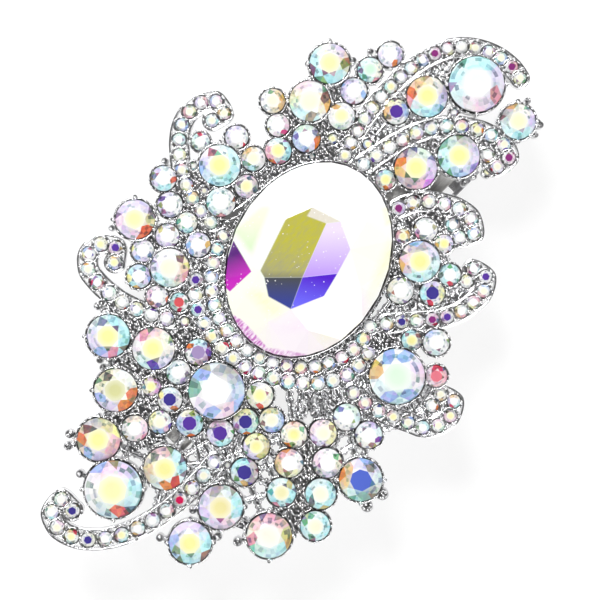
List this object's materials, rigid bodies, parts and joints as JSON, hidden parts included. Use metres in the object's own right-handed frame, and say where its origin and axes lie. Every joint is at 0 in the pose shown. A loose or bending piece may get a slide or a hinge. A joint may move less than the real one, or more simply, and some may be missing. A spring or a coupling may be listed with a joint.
{
  "type": "rhinestone hair clip",
  "caption": "Openwork hair ornament with scrolled rows and clusters of faceted stones round a large oval stone, on a spring barrette that clasps hair.",
  "frame": {"origin": "on the flat underside of the closed clasp arm, straight below the middle of the ornament", "axes": "+X along the ornament's length, towards the catch; +Y across it, towards the top scroll; +Z the way the stones face"},
  "size_m": [0.0954, 0.0605, 0.0195],
  "materials": {
    "plated_casting": "bright rhodium plate over zinc alloy, cast texture between the seats",
    "oval_stone_crystal": "faceted crystal with an iridescent coating and foiled back",
    "large_stone_crystal": "faceted crystal with an iridescent coating and foiled back",
    "small_stone_crystal": "faceted crystal with an iridescent coating and foiled back",
    "clip_steel": "nickel-plated pressed steel",
    "spring_steel": "plated spring strip, fine drawn grain",
    "pin_and_rivets": "bright plated"
  },
  "bodies": {
    "ornament": {"bow_spring": "spring_steel", "catch_rivet": "pin_and_rivets", "catch_strip": "spring_steel", "clip_base_plate": "clip_steel", "grand_stone_beside_oval": "large_stone_crystal", "grand_stone_bottom": "large_stone_crystal", "grand_stone_left_tip": "large_stone_crystal", "grand_stone_right_tip": "large_stone_crystal", "hinge_pin": "pin_and_rivets", "large_stone_bottom_left": "large_stone_crystal", "large_stone_left_crest": "large_stone_crystal", "large_stone_left_heart": "large_stone_crystal", "large_stone_left_shoulder": "large_stone_crystal", "large_stone_lower_left_corner": "large_stone_crystal", "large_stone_lower_left_inner": "large_stone_crystal", "large_stone_lower_left_outer": "large_stone_crystal", "large_stone_lower_right": "large_stone_crystal", "large_stone_right_foot": "large_stone_crystal", "large_stone_right_heart": "large_stone_crystal", "large_stone_right_lower": "large_stone_crystal", "large_stone_right_upper": "large_stone_crystal", "large_stone_top_centre": "large_stone_crystal", "large_stone_top_crest": "large_stone_crystal", "large_stone_top_left": "large_stone_crystal", "large_stone_top_right_inner": "large_stone_crystal", "large_stone_top_right_outer": "large_stone_crystal", "large_stone_upper_left_inner": "large_stone_crystal", "large_stone_upper_left_outer": "large_stone_crystal", "medium_stones_left_wing": "small_stone_crystal", "medium_stones_lower_left": "small_stone_crystal", "medium_stones_lower_right": "small_stone_crystal", "medium_stones_top": "small_stone_crystal", "medium_stones_upper_left": "small_stone_crystal", "medium_stones_upper_right": "small_stone_crystal", "openwork_casting": "plated_casting", "oval_stone": "oval_stone_crystal", "plate_rivets": "pin_and_rivets", "small_stone_accents": "small_stone_crystal", "small_stones_bottom_crook": "small_stone_crystal", "small_stones_inner_halo": "small_stone_crystal", "small_stones_left_tail": "small_stone_crystal", "small_stones_lower_right_scroll": "small_stone_crystal", "small_stones_outer_halo": "small_stone_crystal", "small_stones_right_curl": "small_stone_crystal", "small_stones_right_hook": "small_stone_crystal", "small_stones_right_rim": "small_stone_crystal", "small_stones_top_scroll": "small_stone_crystal", "small_stones_upper_left_scroll": "small_stone_crystal"},
    "clasp_arm": {"clasp_arm": "clip_steel"},
    "catch_tab_left": {"catch_tab_left": "spring_steel"},
    "catch_tab_right": {"catch_tab_right": "spring_steel"}
  },
  "joints": [
    {"name": "clasp_hinge", "type": "hinge", "parent": "ornament", "child": "clasp_arm", "pos_m": [-0.0235, 0, 0.003], "axis": [0, 1, 0], "range_deg": [0, 100]},
    {"name": "left_tab_pinch", "type": "hinge", "parent": "ornament", "child": "catch_tab_left", "pos_m": [0.0308, 0.0016, 0.0112], "axis": [-1, 0, 0], "range_deg": [0, 6], "stiffness_Nm_per_rad": 0.35},
    {"name": "right_tab_pinch", "type": "hinge", "parent": "ornament", "child": "catch_tab_right", "pos_m": [0.0308, -0.0016, 0.0112], "axis": [1, 0, 0], "range_deg": [0, 6], "stiffness_Nm_per_rad": 0.35}
  ],
  "couplings": [
    {"joint": "right_tab_pinch", "follows": "left_tab_pinch", "ratio": 1}
  ]
}
